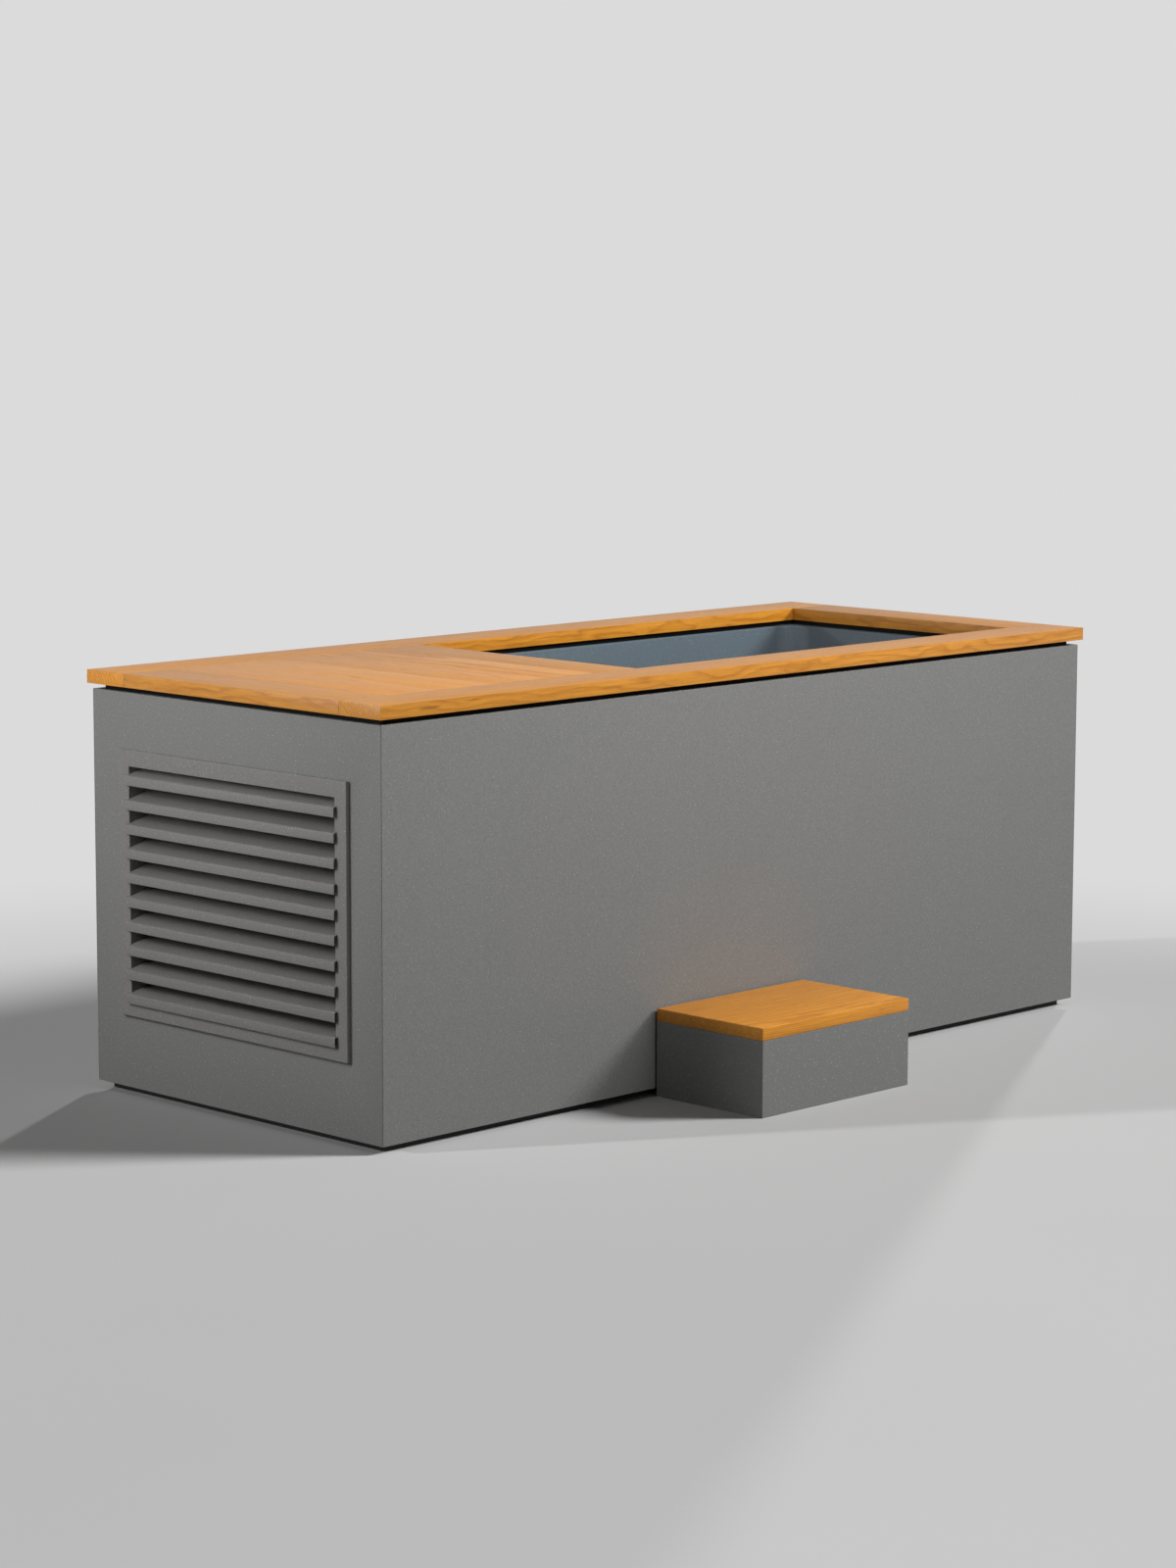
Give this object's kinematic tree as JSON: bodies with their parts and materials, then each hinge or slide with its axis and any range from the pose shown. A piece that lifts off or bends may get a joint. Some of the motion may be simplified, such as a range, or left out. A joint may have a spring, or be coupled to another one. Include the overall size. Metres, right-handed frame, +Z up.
{
  "type": "cold plunge tub",
  "caption": "Cold plunge tub: deep insulated basin and a louvred chiller bay in panel cladding, under a timber deck with a lift-off hatch, with a loose timber-topped step.",
  "frame": {"origin": "On the floor, under the middle of the clad box of the tub", "axes": "+X runs along the tub from the louvred end to the plain end, +Y points away from the bather's side, where the step stands, +Z is up"},
  "size_m": [2.125, 1.1555, 0.853],
  "materials": {
    "plinth_black": "matte black",
    "frame_steel": "powder-coated dark grey",
    "floor_ply": "sealed plywood",
    "bulkhead_grey": "plain sheet",
    "cladding_grey": "satin, fine-speckled mid grey composite",
    "louvre_grey": "satin powder coat to match the cladding",
    "foam_cream": "rigid foam",
    "basin_shell": "satin blue-grey glass-fibre",
    "fitting_white": "white plastic",
    "nut_white": "white plastic",
    "spacer_black": "matte black",
    "timber": "oiled golden hardwood, pinkish-tan upper faces",
    "batten_wood": "sawn hardwood",
    "fastener_steel": "stainless",
    "valve_grey": "grey plastic",
    "valve_ball_white": "white plastic",
    "handle_red": "red plastic",
    "pump_black": "glass-filled plastic",
    "motor_blue": "painted casting",
    "impeller_brass": "cast and turned",
    "pipe_white": "white pipe",
    "filter_grey": "moulded",
    "cartridge_white": "pleated polyester",
    "lid_black": "moulded",
    "exchanger_steel": "brazed stainless plates",
    "coil_aluminium": "plain fins",
    "shroud_steel": "painted sheet",
    "fan_motor_black": "painted",
    "fan_black": "moulded",
    "compressor_black": "gloss black",
    "copper": "copper tube",
    "control_grey": "moulded enclosure",
    "knob_red": "moulded",
    "gland_black": "moulded"
  },
  "bodies": {
    "tub": {"plinth": "plinth_black", "base_frame": "frame_steel", "frame_posts": "frame_steel", "top_frame": "frame_steel", "floor_board": "floor_ply", "bulkhead": "bulkhead_grey", "front_panel": "cladding_grey", "back_panel": "cladding_grey", "louvre_end_panel": "cladding_grey", "plain_end_panel": "cladding_grey", "louvre_frame": "louvre_grey", "louvre_blades": "louvre_grey", "foam_insulation": "foam_cream", "basin": "basin_shell", "suction_fitting": "fitting_white", "return_fitting": "fitting_white", "drain_fitting": "fitting_white", "fitting_nuts": "nut_white", "deck_spacer": "spacer_black", "front_rail": "timber", "back_rail": "timber", "left_end_board": "timber", "bridge_board": "timber", "right_end_board": "timber", "deck_bolts": "fastener_steel", "suction_valve_body": "valve_grey", "return_valve_body": "valve_grey", "drain_valve_body": "valve_grey", "pump_casing": "pump_black", "pump_motor": "motor_blue", "discharge_pipe": "pipe_white", "filter_housing": "filter_grey", "filter_cartridge": "cartridge_white", "transfer_pipe": "pipe_white", "heat_exchanger": "exchanger_steel", "return_pipe": "pipe_white", "drain_pipes": "pipe_white", "condenser_coil": "coil_aluminium", "fan_shroud": "shroud_steel", "fan_motor": "fan_motor_black", "compressor": "compressor_black", "refrigerant_lines": "copper", "control_box": "control_grey", "cable_gland": "gland_black"},
    "hatch": {"hatch_boards": "timber", "hatch_battens": "batten_wood", "hatch_screws": "fastener_steel"},
    "step": {"step_boards": "cladding_grey", "step_tread": "timber", "step_blocks": "batten_wood"},
    "fan": {"condenser_fan": "fan_black"},
    "pump_shaft": {"pump_rotor": "impeller_brass"},
    "suction_valve": {"suction_valve_handle": "handle_red", "suction_valve_ball": "valve_ball_white"},
    "return_valve": {"return_valve_handle": "handle_red", "return_valve_ball": "valve_ball_white"},
    "drain_valve": {"drain_valve_handle": "handle_red", "drain_valve_ball": "valve_ball_white"},
    "filter_cover": {"filter_lid": "lid_black"},
    "isolator": {"isolator_knob": "knob_red"}
  },
  "joints": [
    {"name": "hatch_lift", "type": "slide", "parent": "tub", "child": "hatch", "axis": [0, 0, 1], "range_m": [0, 0.35]},
    {"name": "step_pull", "type": "slide", "parent": "tub", "child": "step", "axis": [0, -1, 0], "range_m": [0, 0.5]},
    {"name": "fan_spin", "type": "hinge", "parent": "tub", "child": "fan", "pos_m": [-0.916, 0, 0.43], "axis": [1, 0, 0], "continuous": true},
    {"name": "pump_spin", "type": "hinge", "parent": "tub", "child": "pump_shaft", "pos_m": [-0.5, 0.18, 0.264], "axis": [1, 0, 0], "continuous": true},
    {"name": "suction_valve_turn", "type": "hinge", "parent": "tub", "child": "suction_valve", "pos_m": [-0.412, 0.18, 0.264], "axis": [0, 0, 1], "range_deg": [0, 90]},
    {"name": "return_valve_turn", "type": "hinge", "parent": "tub", "child": "return_valve", "pos_m": [-0.412, -0.185, 0.264], "axis": [0, 0, 1], "range_deg": [0, 90]},
    {"name": "drain_valve_turn", "type": "hinge", "parent": "tub", "child": "drain_valve", "pos_m": [-0.412, 0.1, 0.118], "axis": [0, 0, 1], "range_deg": [0, 90]},
    {"name": "filter_lid_turn", "type": "hinge", "parent": "tub", "child": "filter_cover", "pos_m": [-0.5, -0.03, 0.515], "axis": [0, 0, 1], "range_deg": [0, 90]},
    {"name": "isolator_turn", "type": "hinge", "parent": "tub", "child": "isolator", "pos_m": [-0.43, 0.02, 0.667], "axis": [1, 0, 0], "range_deg": [0, 90]}
  ]
}
